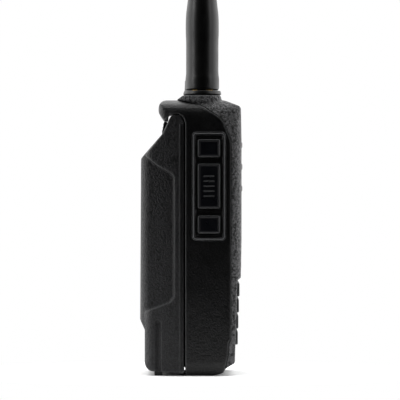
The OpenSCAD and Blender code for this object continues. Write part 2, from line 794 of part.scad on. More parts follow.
module battery_tray() {
    color([0.09, 0.09, 0.1]) difference() {
        intersection() {
            battery_outside();
            tray_zone();
        }
        for (x = [-2:2]) contact_pocket(x);
        rail_slots();
    }
}

// Slots of the housing's rails, with room for the lift that frees the battery
module rail_slots() {
    for (s = [-1, 1]) scale_side(s) block(rail_x - slack, rail_x + rail_w + slack, 0,
        rear_reach + rail_rise + slack, rail_low_z - slack, rail_high_z + rail_lift);
}

// Pocket of one battery contact, from the middle outwards
module contact_pocket(k) {
    block(k * contact_pitch - 1.1, k * contact_pitch + 1.1, tray_y - 1, tray_y + 0.5, contact_low_z + 0.5,
        contact_high_z - 0.5);
}

// Contacts towards the radio, and the two that the charger touches
module battery_contacts() {
    color([0.85, 0.75, 0.4]) {
        for (k = [-2:2]) block(k * contact_pitch - 1.1, k * contact_pitch + 1.1, tray_y + 0.1,
            tray_y + 0.5, contact_low_z + 0.5, contact_high_z - 0.5);
        for (x = [-charge_x, charge_x]) block(x - charge_half_w, x + charge_half_w,
            block_y - 0.6, block_y - 0.15, charge_low_z, charge_high_z);
    }
}

module battery_cover() {
    color([0.13, 0.13, 0.14]) difference() {
        battery_outside();
        tray_zone();
        intersection() {
            along_x(battery_wall - bulge_half_w, bulge_half_w - battery_wall, battery_hollow);
            along_z(0, body_h, inset(battery_top(bulge_half_w, bulge_y), battery_wall), 8);
        }
        rail_slots();
        // guide grooves in both sides
        for (s = [-1, 1]) scale_side(s) along_x(groove_floor, battery_half_w + 2,
            [[groove_y - groove_w / 2, -2, 0], [groove_y + groove_w / 2, -2, 0],
             [groove_y + groove_w / 2, groove_top_z, 1.04],
             [groove_y - groove_w / 2, groove_top_z, 1.04]]);
        // pocket of the latch
        on_slope() block(-latch_w / 2 - slack, latch_w / 2 + slack, -latch_depth - slack, 6,
            -latch_top - latch_l - latch_travel - slack, -latch_top + slack);
        // seats of the charge contacts
        for (x = [-charge_x, charge_x]) block(x - charge_half_w, x + charge_half_w,
            block_y - 0.6, block_y + 2, charge_low_z, charge_high_z);
        // seats of the feet
        for (s = [-1, 1]) foot(s);
    }
}

// A copy on the left or on the right
module scale_side(s) {
    if (s > 0) children();
    else mirror([1, 0, 0]) children();
}

// Space along the battery's slope: Z runs up it and Y stands out of it
module on_slope() {
    translate([0, nose_y + 0.2, nose_z - 0.7]) rotate([slope_angle, 0, 0]) children();
}

module battery_cells() {
    depth = block_y - battery_wall - tray_y - tray_t - 0.4;
    color([0.2, 0.35, 0.6]) for (s = [-1, 1]) scale_side(s)
        block(0.3, bulge_half_w - battery_wall - 2.4, tray_y + tray_t,
            tray_y + tray_t + depth, 4.2, board_z - 2, 3);
}

module battery_board() {
    color([0.1, 0.35, 0.2]) block(-20, 20, tray_y + tray_t, tray_y + tray_t + 4.5,
        board_z, board_z + 1.4);
}

// One foot under the battery
module foot(s) {
    scale_side(s) block(battery_half_w - 9, battery_half_w - 3.5, groove_y - 1.75,
        groove_y + 1.45, 0, 2.2, 0.4);
}

module battery_feet() {
    color([0.03, 0.03, 0.03]) for (s = [-1, 1]) foot(s);
}

module battery_latch() {
    color([0.06, 0.07, 0.08]) on_slope() union() {
        along_x(-latch_w / 2, latch_w / 2, [[-latch_depth, -latch_top - latch_l, 0],
            [latch_low_rise, -latch_top - latch_l, 0.4], [latch_rise, -latch_top, 0.5],
            [-latch_depth, -latch_top, 0]]);
        for (k = [1:3]) latch_rib(-latch_top - k * latch_l / 4);
    }
}

// One grip rib across the latch, at a place down the slope
module latch_rib(place) {
    face = latch_rise + (latch_rise - latch_low_rise) * (place + latch_top) / latch_l;
    along_x(2 - latch_w / 2, latch_w / 2 - 2, [[face - 0.3, place - 0.4, 0],
        [face + 0.2, place - 0.15, 0], [face + 0.2, place + 0.15, 0],
        [face - 0.3, place + 0.4, 0]]);
}

// The coil of the latch spring, as rings joined by an upright at one side
module latch_spring() {
    low = -latch_top - latch_l - latch_travel + 0.1;
    color([0.75, 0.75, 0.78]) on_slope() for (s = [-1, 1]) union() {
        for (k = [0:3]) translate([s * 5, -0.6, low + 0.2 + k * 0.45]) rotate_extrude()
            translate([0.6, 0]) circle(r = 0.15, $fn = 16);
        translate([s * 5 + 0.6, -0.6, low + 0.2]) cylinder(h = 1.35, r = 0.12, $fn = 16);
    }
}

module contact_block() {
    color([0.15, 0.15, 0.16]) union() {
        block(-contact_half_w, contact_half_w, 0, rear_reach, contact_low_z, contact_high_z);
        for (k = [-2:2]) block(k * contact_pitch - 0.7, k * contact_pitch + 0.7, rear_reach - 0.1,
            tray_y + 0.02, contact_low_z + 2, contact_high_z - 2);
    }
}

// ---- Far side ------------------------------------------------------------

module accessory_jacks() {
    color([0.12, 0.12, 0.12]) for (j = jack_places) difference() {
        bar_x(board_half_w + 0.4, half_w - cover_recess, jack_y, j[0], jack_body_r);
        bar_x(board_half_w + 1.4, half_w, jack_y, j[0], j[1]);
    }
}

module jack_cover() {
    color([0.08, 0.08, 0.08]) union() {
        along_x(half_w - cover_lip, half_w + side_key_rise, box_pts(cover_front_y,
            cover_low_z, cover_hinge_y, cover_high_z, 1));
        bar_z(half_w + 0.3, cover_hinge_y, cover_low_z + 6, cover_high_z - 6, hinge_r);
    }
}

module jack_cover_anchor() {
    color([0.08, 0.08, 0.08]) difference() {
        along_x(half_w - cover_recess, half_w + 0.4, box_pts(anchor_front_y, cover_low_z + 4,
            anchor_back_y, cover_high_z - 4, 1));
        bar_x(half_w - 3, half_w + 3, anchor_screw_y, anchor_screw_z, 1);
        bar_x(half_w - anchor_seat, half_w + 3, anchor_screw_y, anchor_screw_z, anchor_head_r);
    }
}

module jack_cover_screw() {
    color([0.3, 0.3, 0.32]) translate([0, anchor_screw_y, anchor_screw_z]) rotate([0, 90, 0])
        difference() {
            union() {
                translate([0, 0, inner_w]) cylinder(h = wall - anchor_seat, r = 1);
                translate([0, 0, half_w - anchor_seat]) cylinder(h = 0.8, r = anchor_head_r);
            }
            translate([0, 0, half_w - anchor_seat + 0.3]) cylinder(h = 2, r = 0.8, $fn = 6);
        }
}

// ---- Assembly ------------------------------------------------------------

front_cover();
rear_housing();
display_window();
display_panel();
display_frame();
speaker_mesh();
speaker_basket();
speaker_cone();
speaker_magnet();
microphone();
keypad_mat();
side_key_bezel();
side_switch_board();
antenna_jack();
antenna_coupling();
antenna_sleeve();
antenna_whip();
antenna_plug();
volume_knob();
knob_shaft();
volume_control();
status_lens();
battery_tray();
battery_cover();
battery_cells();
battery_board();
battery_contacts();
battery_feet();
battery_latch();
latch_spring();
main_board();
shield_cans();
chassis_plate();
chassis_screws();
housing_screws();
main_seal();
jack_cover();
jack_cover_anchor();
jack_cover_screw();
accessory_jacks();
contact_block();
for (k = side_keys) side_key(k);
for (i = [0:15]) keypad_key(i);
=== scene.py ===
"""Looks of a handheld aviation radio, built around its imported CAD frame."""

import math

import bmesh
import bpy
from bpy.props import FloatProperty, FloatVectorProperty, PointerProperty
from mathutils import Matrix, Vector


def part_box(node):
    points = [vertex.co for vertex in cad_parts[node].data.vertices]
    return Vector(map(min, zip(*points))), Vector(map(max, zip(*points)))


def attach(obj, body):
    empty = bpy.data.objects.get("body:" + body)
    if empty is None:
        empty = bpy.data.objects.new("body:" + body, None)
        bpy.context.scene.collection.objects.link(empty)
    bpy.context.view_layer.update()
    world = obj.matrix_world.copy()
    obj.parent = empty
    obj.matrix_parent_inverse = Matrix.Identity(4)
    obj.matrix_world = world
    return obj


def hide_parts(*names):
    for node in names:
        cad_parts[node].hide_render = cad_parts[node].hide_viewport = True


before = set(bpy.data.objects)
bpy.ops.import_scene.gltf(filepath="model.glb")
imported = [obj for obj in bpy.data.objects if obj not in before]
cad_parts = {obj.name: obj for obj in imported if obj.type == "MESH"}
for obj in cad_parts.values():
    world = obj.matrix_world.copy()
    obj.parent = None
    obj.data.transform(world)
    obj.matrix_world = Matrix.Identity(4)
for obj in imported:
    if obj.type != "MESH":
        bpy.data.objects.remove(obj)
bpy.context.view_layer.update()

bl_info = {
    "name": "Handheld Aviation Radio",
    "version": (1, 0, 0),
    "blender": (4, 5, 0),
    "location": "View3D > Sidebar > Radio",
    "description": "Gives the radio's CAD frame its moulded details, materials and studio",
    "category": "Add Mesh",
}

MM = 0.001

# depth of a side key's flange, which stays under the bezel, and of a keypad key's shoulder
SIDE_KEY_FLANGE = 0.7 * MM
KEYPAD_SHOULDER = 0.5 * MM
SIDE_KEY_CORNER = 0.8 * MM
KEYPAD_CORNER = 0.9 * MM

# rim round the side keys
RIM_WIDTH = 1.3 * MM
RIM_CORNER = 1.55 * MM
RIM_PROUD = 0.05 * MM
RIM_ROOT = 0.4 * MM

# grip ribs of the push-to-talk key
RIB_COUNT = 5
RIB_PITCH = 1.9 * MM
RIB_HALF_LENGTH = 2.1 * MM
RIB_HALF_WIDTH = 0.32 * MM
RIB_RISE = 0.3 * MM
RIB_SINK = 0.25 * MM

# share of the antenna's widest radius, and of its height, from foot to tip
ANTENNA_SHAPE = (
    (0.93, 0), (0.985, 0.004), (1, 0.012), (1, 0.042), (0.97, 0.06), (0.962, 0.08),
    (0.962, 0.14), (0.965, 0.19), (0.982, 0.22), (0.985, 0.25), (0.978, 0.275), (0.955, 0.3),
    (0.9, 0.33), (0.842, 0.37), (0.80, 0.43), (0.77, 0.5), (0.71, 0.75), (0.655, 0.97),
    (0.63, 0.985), (0.57, 0.995), (0.44, 1))

# light of the room's walls, from the side that the radio's keys face away from (0) to the side
# that they face (1)
WALLS = (
    (0.0, 0.9), (0.2, 2.4), (0.42, 2.4), (0.58, 1.5), (0.72, 0.45), (0.85, 0.03), (1.0, 0.002))

FLOOR_RADIUS = 100 * MM
CAMERA_DISTANCE = 1500 * MM
CAMERA_FIELD = 152.7 * MM
CAMERA_DEPTH = -3.03 * MM
CAMERA_HEIGHT = 67.2 * MM


def linear(hex_colour):
    """An sRGB hex colour as linear red, green and blue."""
    parts = [int(hex_colour[i : i + 2], 16) / 255 for i in (0, 2, 4)]
    return tuple(c / 12.92 if c <= 0.04045 else ((c + 0.055) / 1.055) ** 2.4 for c in parts)


def colour(name, hex_colour, description):
    """A colour property that a user can change."""
    return FloatVectorProperty(
        name=name, description=description, subtype="COLOR", size=3, min=0, max=1,
        default=linear(hex_colour))


def length(name, millimetres, description):
    """A length property that a user can change."""
    return FloatProperty(
        name=name, description=description, unit="LENGTH", min=0, default=millimetres * MM)


class RadioSizes(bpy.types.PropertyGroup):
    """Sizes of the moulded details."""

    case_grid: length("Case skin", 0.35, "Grid of the moulded skin of the large cases")
    small_grid: length("Small skin", 0.16, "Grid of the moulded skin of small fittings")
    small_edge: length("Small edges", 0.12, "Width of the broken edges of inner parts")
    key_edge: length("Key edges", 0.45, "Radius of the rim of a rubber key")
    key_dish: length("Key dish", 0.22, "Depth of the dish in a side key")
    coarse_grain: length("Coarse grain", 1.0, "Spacing of the spark grain on the front cover")
    fine_grain: length("Fine grain", 0.7, "Spacing of the fine grain on the rear cases")
    legend_height: length("Legend height", 2.5, "Height of the digits on the keys")


class RadioColours(bpy.types.PropertyGroup):
    """Colours of the materials."""

    case: colour("Case", "2B2B2C", "ABS of the front cover")
    housing: colour("Housing", "080809", "ABS of the rear housing")
    battery: colour("Battery", "0E0E10", "ABS of the battery case")
    painted_edge_highlight: colour("Painted edge highlights", "434445", "Painted highlight on the outer edges of the black mouldings")
    # painted highlight: the lighter grey painted on the convex edges of the black mouldings and
    # keys, where rounded edges would catch light
    rim: colour("Side key rim", "727375", "Polished ABS of the rim round the side keys")
    key: colour("Keys", "0A0B10", "Silicone rubber of the keys")
    antenna: colour("Antenna", "070707", "Moulded rubber of the antenna")
    legend: colour("Legends", "D8D8D0", "Ink of the key legends")
    floor: colour("Floor", "F4F4F4", "Paint of the studio floor")


# ---- Materials ---------------------------------------------------------------


def add(tree, kind, links=None, **settings):
    """Adds a node. settings are its properties, and links its input sockets:
    a number or colour sets one, and an output socket is joined to it."""
    made = tree.nodes.new(kind)
    for name, value in settings.items():
        setattr(made, name, value)
    for name, value in (links or {}).items():
        if isinstance(value, bpy.types.NodeSocket):
            tree.links.new(value, made.inputs[name])
        else:
            made.inputs[name].default_value = value
    return made


def moulded(name, tone, roughness, grain=0.0, depth=0.0, specks=0.0, coat=0.0, ior=1.5,
            painted_edge_highlight=None):
    """A moulded plastic or rubber. grain is the spacing of its texture in metres, depth the
    texture's depth, and specks the share by which the texture lightens the colour. The last
    argument is a painted highlight: the lighter colour that its convex outer edges are painted."""
    found = bpy.data.materials.get(name)
    if found:
        return found
    made = bpy.data.materials.new(name)
    made.use_nodes = True
    tree = made.node_tree
    tree.nodes.clear()
    shader = add(tree, "ShaderNodeBsdfPrincipled", {
        "Base Color": (*tone, 1), "Roughness": roughness, "IOR": ior, "Coat Weight": coat,
        "Coat Roughness": 0.2})
    add(tree, "ShaderNodeOutputMaterial", {"Surface": shader.outputs["BSDF"]})
    if grain:
        place = add(tree, "ShaderNodeTexCoord").outputs["Object"]
        pits = add(tree, "ShaderNodeTexNoise", {
            "Vector": place, "Scale": 1 / grain, "Detail": 3, "Roughness": 0.6}).outputs["Fac"]
        cloud = add(tree, "ShaderNodeTexNoise", {
            "Vector": place, "Scale": 1 / (12 * grain), "Detail": 2}).outputs["Fac"]
        height = add(tree, "ShaderNodeMapRange", {
            "Value": pits, "From Min": 0.4, "From Max": 0.62}).outputs["Result"]
        light = tuple(min(1, c * (1 + specks) + 0.004 * specks) for c in tone)
        dark = tuple(c * (1 - 0.4 * min(1, specks)) for c in tone)
        shade = add(tree, "ShaderNodeMix", {
            "Factor": height, "A": (*dark, 1), "B": (*light, 1)}, data_type="RGBA")
        base = shade.outputs["Result"]
        # painted highlight: convex edges, picked out by pointiness, are mixed towards a lighter
        # grey in place of light caught by rounded edges
        if painted_edge_highlight:
            bend = add(tree, "ShaderNodeNewGeometry").outputs["Pointiness"]
            edge_highlight_mask = add(tree, "ShaderNodeMapRange", {
                "Value": bend, "From Min": 0.51, "From Max": 0.56}).outputs["Result"]
            base = add(tree, "ShaderNodeMix", {
                "Factor": edge_highlight_mask, "A": base, "B": (*painted_edge_highlight, 1)}, data_type="RGBA").outputs["Result"]
        tree.links.new(base, shader.inputs["Base Color"])
        polish = add(tree, "ShaderNodeMapRange", {
            "Value": cloud, "From Min": 0.3, "From Max": 0.7,
            "To Min": roughness - 0.05, "To Max": roughness + 0.05}).outputs["Result"]
        tree.links.new(polish, shader.inputs["Roughness"])
        bump = add(tree, "ShaderNodeBump", {
            "Height": height, "Strength": 1.0, "Distance": depth})
        tree.links.new(bump.outputs["Normal"], shader.inputs["Normal"])
    return made


def metal(name, tone, roughness):
    """A bare or plated metal with fine drawing marks, which stretch its highlights."""
    found = bpy.data.materials.get(name)
    if found:
        return found
    made = bpy.data.materials.new(name)
    made.use_nodes = True
    tree = made.node_tree
    tree.nodes.clear()
    place = add(tree, "ShaderNodeTexCoord").outputs["Object"]
    marks = add(tree, "ShaderNodeTexNoise", {
        "Vector": place, "Scale": 1 / (0.4 * MM), "Detail": 2}).outputs["Fac"]
    polish = add(tree, "ShaderNodeMapRange", {
        "Value": marks, "To Min": roughness - 0.08, "To Max": roughness + 0.08})
    shader = add(tree, "ShaderNodeBsdfPrincipled", {
        "Base Color": (*tone, 1), "Metallic": 1.0, "Roughness": polish.outputs["Result"]})
    add(tree, "ShaderNodeOutputMaterial", {"Surface": shader.outputs["BSDF"]})
    return made


def case_abs():
    """Black ABS with a spark-eroded mould texture: coarse light specks on a dull ground."""
    # the real pits, 0.1 mm apart, are too fine to show, so all grains here are drawn coarser
    sizes, tones = bpy.context.scene.radio_sizes, bpy.context.scene.radio_colours
    # its convex edges get the painted highlight colour
    return moulded(
        "spark_textured_abs", tones.case, 0.38, sizes.coarse_grain, 0.3 * MM, 3.2,
        painted_edge_highlight=tones.painted_edge_highlight)


def housing_abs():
    """Black ABS with a fine etched mould texture: an even satin without sparkle."""
    sizes, tones = bpy.context.scene.radio_sizes, bpy.context.scene.radio_colours
    # its convex edges get the painted highlight colour
    return moulded(
        "fine_etched_abs", tones.housing, 0.34, sizes.fine_grain, 0.05 * MM, 0.6,
        painted_edge_highlight=tones.painted_edge_highlight)


def rim_abs():
    """Dark grey ABS polished in the mould: a smooth rim that mirrors the lit walls."""
    tones = bpy.context.scene.radio_colours
    return moulded("polished_abs", tones.rim, 0.3, 0.3 * MM, 0.003 * MM, 0.1)


def battery_abs():
    """Black ABS of the battery: a fine grain that goes grey where light grazes it."""
    sizes, tones = bpy.context.scene.radio_sizes, bpy.context.scene.radio_colours
    # its convex edges get the painted highlight colour
    return moulded(
        "battery_grained_abs", tones.battery, 0.36, sizes.fine_grain, 0.1 * MM, 1.4,
        painted_edge_highlight=tones.painted_edge_highlight)


def key_silicone():
    """Silicone rubber with a matt lacquer: smooth, bluish black, with soft highlights."""
    tones = bpy.context.scene.radio_colours
    # its convex edges get the painted highlight colour
    return moulded(
        "lacquered_silicone", tones.key, 0.32, 0.2 * MM, 0.004 * MM, 0.1, ior=1.43,
        painted_edge_highlight=tones.painted_edge_highlight)


def antenna_rubber():
    """Polyurethane over-moulding: smooth and half glossy, so it mirrors the side lights."""
    tones = bpy.context.scene.radio_colours
    return moulded("moulded_polyurethane", tones.antenna, 0.33, 0.3 * MM, 0.004 * MM, 0.1)


# ---- Mesh helpers ------------------------------------------------------------


def paint(piece, material):
    """Gives a piece one material."""
    piece.data.materials.clear()
    piece.data.materials.append(material)


def mould(node, grid, rounds=4, share=0.35):
    """Gives a CAD node the soft edges of a moulding, without touching its mesh: a skin of
    squares of size grid is laid over it, relaxed, and thinned to a share of its faces."""
    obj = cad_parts[node]
    skin = obj.modifiers.new("Skin", "REMESH")
    skin.mode = "VOXEL"
    skin.voxel_size = grid
    skin.use_smooth_shade = True
    relax = obj.modifiers.new("Relax", "SMOOTH")
    relax.factor = 0.5
    relax.iterations = rounds
    thin = obj.modifiers.new("Thin", "DECIMATE")
    thin.ratio = share
    return obj


def ease(node, edge, angle=35):
    """Breaks the edges of a plain CAD node that are sharper than angle."""
    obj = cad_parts[node]
    weld = obj.modifiers.new("Join", "WELD")
    weld.merge_threshold = 0.002 * MM
    bevel = obj.modifiers.new("Break", "BEVEL")
    bevel.width = edge
    bevel.segments = 2
    bevel.limit_method = "ANGLE"
    bevel.angle_limit = math.radians(angle)
    return obj


def dress(nodes, material, edge=0.1 * MM, grid=0.0, rounds=4):
    """Gives CAD nodes a material, with moulded edges on a grid or with broken edges."""
    for node in nodes:
        paint(mould(node, grid, rounds) if grid else ease(node, edge), material)


def mesh_piece(name, points, faces, material, body):
    """A new piece from points and faces, which rides on a body."""
    mesh = bpy.data.meshes.new(name)
    mesh.from_pydata([tuple(p) for p in points], [], faces)
    mesh.validate()
    for face in mesh.polygons:
        face.use_smooth = True
    piece = bpy.data.objects.new(name, mesh)
    bpy.context.scene.collection.objects.link(piece)
    paint(piece, material)
    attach(piece, body)
    return piece


def rounded_outline(half_u, half_v, radius, steps=6):
    """Points of a rectangle with round corners, anticlockwise round its middle."""
    radius = min(radius, half_u, half_v)
    points = []
    for corner in range(4):
        sign_u = 1 if corner in (0, 3) else -1
        sign_v = 1 if corner in (0, 1) else -1
        for step in range(steps + 1):
            turn = math.radians(90 * (corner + step / steps))
            points.append((
                sign_u * (half_u - radius) + radius * math.cos(turn),
                sign_v * (half_v - radius) + radius * math.sin(turn)))
    return points


def pad(name, centre, out, up, half_u, half_v, radius, steps, material, body):
    """A moulded pad with a round outline. centre is the middle of its base, out its outward
    axis and up the axis of half_v. steps are (inset, height) pairs from base to face."""
    out, up = Vector(out), Vector(up)
    across = up.cross(out)
    points, faces = [], []
    for inset, height in steps:
        outline = rounded_outline(half_u - inset, half_v - inset, max(radius - inset, 0.2 * radius))
        points += [centre + across * u + up * v + out * height for u, v in outline]
    count = len(points) // len(steps)
    faces.append(tuple(reversed(range(count))))
    for level in range(len(steps) - 1):
        low = level * count
        for i in range(count):
            j = (i + 1) % count
            faces.append((low + i, low + j, low + count + j, low + count + i))
    faces.append(tuple(range(len(points) - count, len(points))))
    return mesh_piece(name, points, faces, material, body)


def ring(name, centre, out, up, half_u, half_v, radius, width, rise, material, body):
    """A raised half-round rim round a rounded rectangle. width is the rim's width, which lies
    inside the outline, and rise how far it stands out of its base."""
    out, up = Vector(out), Vector(up)
    across = up.cross(out)
    section = [(i * width / 8, rise * math.sin(math.pi * i / 8) ** 0.6) for i in range(9)]
    section = [(0, -RIM_ROOT)] + section + [(width, -RIM_ROOT)]
    points, faces = [], []
    for inset, height in section:
        outline = rounded_outline(half_u - inset, half_v - inset, max(radius - inset, 0.2 * MM))
        points += [centre + across * u + up * v + out * height for u, v in outline]
    count = len(points) // len(section)
    for level in range(len(section)):
        low, high = level * count, (level + 1) % len(section) * count
        for i in range(count):
            j = (i + 1) % count
            faces.append((low + i, low + j, high + j, high + i))
    return mesh_piece(name, points, faces, material, body)


def rim_steps(height, edge, dish=0.0, base=0.0):
    """Steps of a pad with a rounded rim and, where dish isn't 0, a shallow dish."""
    steps = [(0, base), (0, height - edge)]
    for turn in (30, 60, 90):
        a = math.radians(turn)
        steps.append((edge * (1 - math.cos(a)), height - edge + edge * math.sin(a)))
    if dish:
        for share in (0.25, 0.5, 0.75, 1):
            fall = dish * (1 - math.cos(math.pi * share)) / 2
            steps.append((edge * 1.3 + 2.2 * dish * share, height - fall))
    return steps


def lathe(name, centre, profile, material, body, segments=64):
    """A turned piece about the upright axis through centre, from (radius, height) pairs."""
    points, faces = [], []
    for radius, height in profile:
        for i in range(segments):
            turn = 2 * math.pi * i / segments
            points.append(centre + Vector((
                radius * math.cos(turn), radius * math.sin(turn), height)))
    for level in range(len(profile) - 1):
        low = level * segments
        for i in range(segments):
            j = (i + 1) % segments
            faces.append((low + i, low + j, low + segments + j, low + segments + i))
    faces.append(tuple(reversed(range(segments))))
    faces.append(tuple(range(len(points) - segments, len(points))))
    return mesh_piece(name, points, faces, material, body)


def smooth_profile(shape, count):
    """A profile of (radius, height) pairs made smooth by a Catmull-Rom curve."""
    ends = [shape[0]] + list(shape) + [shape[-1]]
    points = []
    for k in range(len(shape) - 1):
        a, b, c, d = (Vector(ends[k + i]) for i in range(4))
        for step in range(count):
            t = step / count
            points.append(0.5 * (
                2 * b + (c - a) * t + (2 * a - 5 * b + 4 * c - d) * t * t
                + (3 * b - a - 3 * c + d) * t ** 3))
    return [tuple(p) for p in points] + [tuple(shape[-1])]


def legend(name, words, place, height, material, body, slot):
    """Printed marks on the front: flat letters in the built-in face, as a thin mesh."""
    curve = bpy.data.curves.new(name, "FONT")
    curve.body = words
    curve.size = height * 1.4
    curve.align_x = "CENTER"
    curve.align_y = "CENTER"
    curve.extrude = 0.02 * MM
    curve.resolution_u = 4
    lettering = bpy.data.objects.new(name + "_curve", curve)
    bpy.context.scene.collection.objects.link(lettering)
    lettering.matrix_world = (
        Matrix.Translation(place) @ Matrix.Rotation(math.radians(90), 4, "X"))
    bpy.context.view_layer.update()
    mesh = bpy.data.meshes.new_from_object(
        lettering.evaluated_get(bpy.context.evaluated_depsgraph_get()))
    mesh.transform(lettering.matrix_world)
    mesh.name = name
    bpy.data.objects.remove(lettering)
    piece = bpy.data.objects.new(name, mesh)
    bpy.context.scene.collection.objects.link(piece)
    paint(piece, material)
    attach(piece, body)
    return piece


# ---- Operators ---------------------------------------------------------------


class RADIO_OT_casings(bpy.types.Operator):
    """Gives the front cover, the rear housing and the battery their grain and edges"""

    bl_idname = "radio.casings"
    bl_label = "Casings"

    def execute(self, context):
        grid = context.scene.radio_sizes.case_grid
        dress(["front_cover"], case_abs(), grid=grid)
        dress(["rear_housing", "battery_tray"], housing_abs(), grid=grid)
        dress(["battery_cover"], battery_abs(), grid=grid)
        return {"FINISHED"}


class RADIO_OT_side_keys(bpy.types.Operator):
    """Makes the side keys with their dished faces, and the bezel round them"""

    bl_idname = "radio.side_keys"
    bl_label = "Side Keys"

    def execute(self, context):
        sizes = context.scene.radio_sizes
        dress(["side_key_bezel"], housing_abs(), grid=sizes.small_grid)
        low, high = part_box("side_key_bezel")
        face = -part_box("rear_housing")[1].x
        centre = Vector((face, (low.y + high.y) / 2, (low.z + high.z) / 2))
        ring(
            "side_key_rim", centre, (-1, 0, 0), (0, 0, 1), (high.y - low.y) / 2 + RIM_PROUD,
            (high.z - low.z) / 2 + RIM_PROUD, RIM_CORNER, RIM_WIDTH, face - low.x + RIM_PROUD,
            rim_abs(), "radio")
        for node in ("ptt_button", "upper_side_key", "lower_side_key"):
            low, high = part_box(node)
            centre = Vector((high.x - SIDE_KEY_FLANGE, (low.y + high.y) / 2, (low.z + high.z) / 2))
            piece = pad(
                node + "_pad", centre, (-1, 0, 0), (0, 0, 1),
                (high.y - low.y) / 2 - SIDE_KEY_FLANGE, (high.z - low.z) / 2 - SIDE_KEY_FLANGE,
                SIDE_KEY_CORNER,
                rim_steps(centre.x - low.x, sizes.key_edge, sizes.key_dish),
                key_silicone(), node)
            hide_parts(node)
            if node == "ptt_button":
                grip_ribs(node, centre, centre.x - low.x)
        return {"FINISHED"}


def grip_ribs(node, centre, height):
    """Raised ribs across the push-to-talk key, which the thumb finds."""
    middle = (RIB_COUNT + 1) // 2
    for k in range(1, RIB_COUNT + 1):
        place = centre + Vector((RIB_SINK - height, 0, (k - middle) * RIB_PITCH))
        pad(
            f"{node}_rib_{k}", place, (-1, 0, 0), (0, 0, 1), RIB_HALF_LENGTH, RIB_HALF_WIDTH,
            RIB_RISE, rim_steps(RIB_RISE, 0.2 * MM, base=-RIB_RISE), key_silicone(), node)


class RADIO_OT_keypad(bpy.types.Operator):
    """Makes the keypad's rubber keys with their printed digits"""

    bl_idname = "radio.keypad"
    bl_label = "Keypad"

    def execute(self, context):
        sizes, tones = context.scene.radio_sizes, context.scene.radio_colours
        # pad-printed ink: matt and almost white
        ink = moulded("pad_printed_ink", tones.legend, 0.5, 0.3 * MM, 0.01 * MM, 0.1)
        marks = ["1", "2", "3", "A", "4", "5", "6", "B", "7", "8", "9", "C", "*", "0", "#", "D"]
        for i, mark in enumerate(marks):
            node = f"key_{'abcd'[i // 4]}{i % 4 + 1}"
            low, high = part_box(node)
            centre = Vector(((low.x + high.x) / 2, high.y, (low.z + high.z) / 2))
            height = high.y - low.y
            piece = pad(
                node + "_pad", centre, (0, -1, 0), (0, 0, 1),
                (high.x - low.x) / 2 - KEYPAD_SHOULDER, (high.z - low.z) / 2, KEYPAD_CORNER,
                rim_steps(height - 0.03 * MM, sizes.key_edge), key_silicone(), node)
            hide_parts(node)
            place = Vector((centre.x, low.y + 0.03 * MM, centre.z))
            legend(
                node + "_mark", mark, place, sizes.legend_height, ink, node, "keypad_rubber")
        return {"FINISHED"}


class RADIO_OT_display(bpy.types.Operator):
    """Makes the display's smoked window and what it shows"""

    bl_idname = "radio.display"
    bl_label = "Display"

    def execute(self, context):
        # smoked acrylic, polished: a dark sheet that mirrors the room
        window = moulded(
            "smoked_acrylic", linear("0A0C0E"), 0.08, 3 * MM, 0.002 * MM, 0.1, coat=1.0, ior=1.49)
        dress(["display_window"], window, context.scene.radio_sizes.small_edge)
        # the display's glass behind it: a grey-green ground
        glass = moulded("display_glass", linear("8C9A88"), 0.3, 0.5 * MM, 0.002 * MM, 0.1)
        dress(["display_panel"], glass, 0.1 * MM)
        return {"FINISHED"}


class RADIO_OT_antenna(bpy.types.Operator):
    """Makes the antenna's rubber sleeve and its ribbed coupling ring"""

    bl_idname = "radio.antenna"
    bl_label = "Antenna"

    def execute(self, context):
        low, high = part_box("antenna_sleeve")
        axis = Vector(((low.x + high.x) / 2, (low.y + high.y) / 2, low.z))
        radius, tall = (high.x - low.x) / 2, high.z - low.z
        profile = smooth_profile([(r * radius, z * tall) for r, z in ANTENNA_SHAPE], 6)
        sleeve = lathe(
            "antenna_rubber_sleeve", axis, profile, antenna_rubber(), "antenna")
        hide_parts("antenna_sleeve")
        dress(["antenna_coupling"], antenna_rubber(), grid=context.scene.radio_sizes.small_grid)
        return {"FINISHED"}


class RADIO_OT_fittings(bpy.types.Operator):
    """Dresses the knob, the latch, the jack cover and the other small outer fittings"""

    bl_idname = "radio.fittings"
    bl_label = "Fittings"

    def execute(self, context):
        edge, grid = context.scene.radio_sizes.small_edge, context.scene.radio_sizes.small_grid
        dress(["volume_knob"], housing_abs(), grid=grid)
        dress(["battery_latch"], key_silicone(), grid=grid)
        dress(["jack_cover", "jack_cover_anchor", "battery_feet"], antenna_rubber(), grid=grid)
        # frosted acrylic: a small pale dot
        lens = moulded(
            "frosted_acrylic", linear("9AA39C"), 0.15, 0.4 * MM, 0.005 * MM, 0.1, ior=1.49)
        dress(["status_lens"], lens, edge)
        # black oxide steel: dark heads with a dull glint
        black_steel = metal("black_oxide_steel", linear("3A3A3C"), 0.35)
        dress(["housing_screws", "jack_cover_screw"], black_steel, 0.08 * MM)
        dress(["accessory_jacks"], housing_abs(), edge)
        return {"FINISHED"}


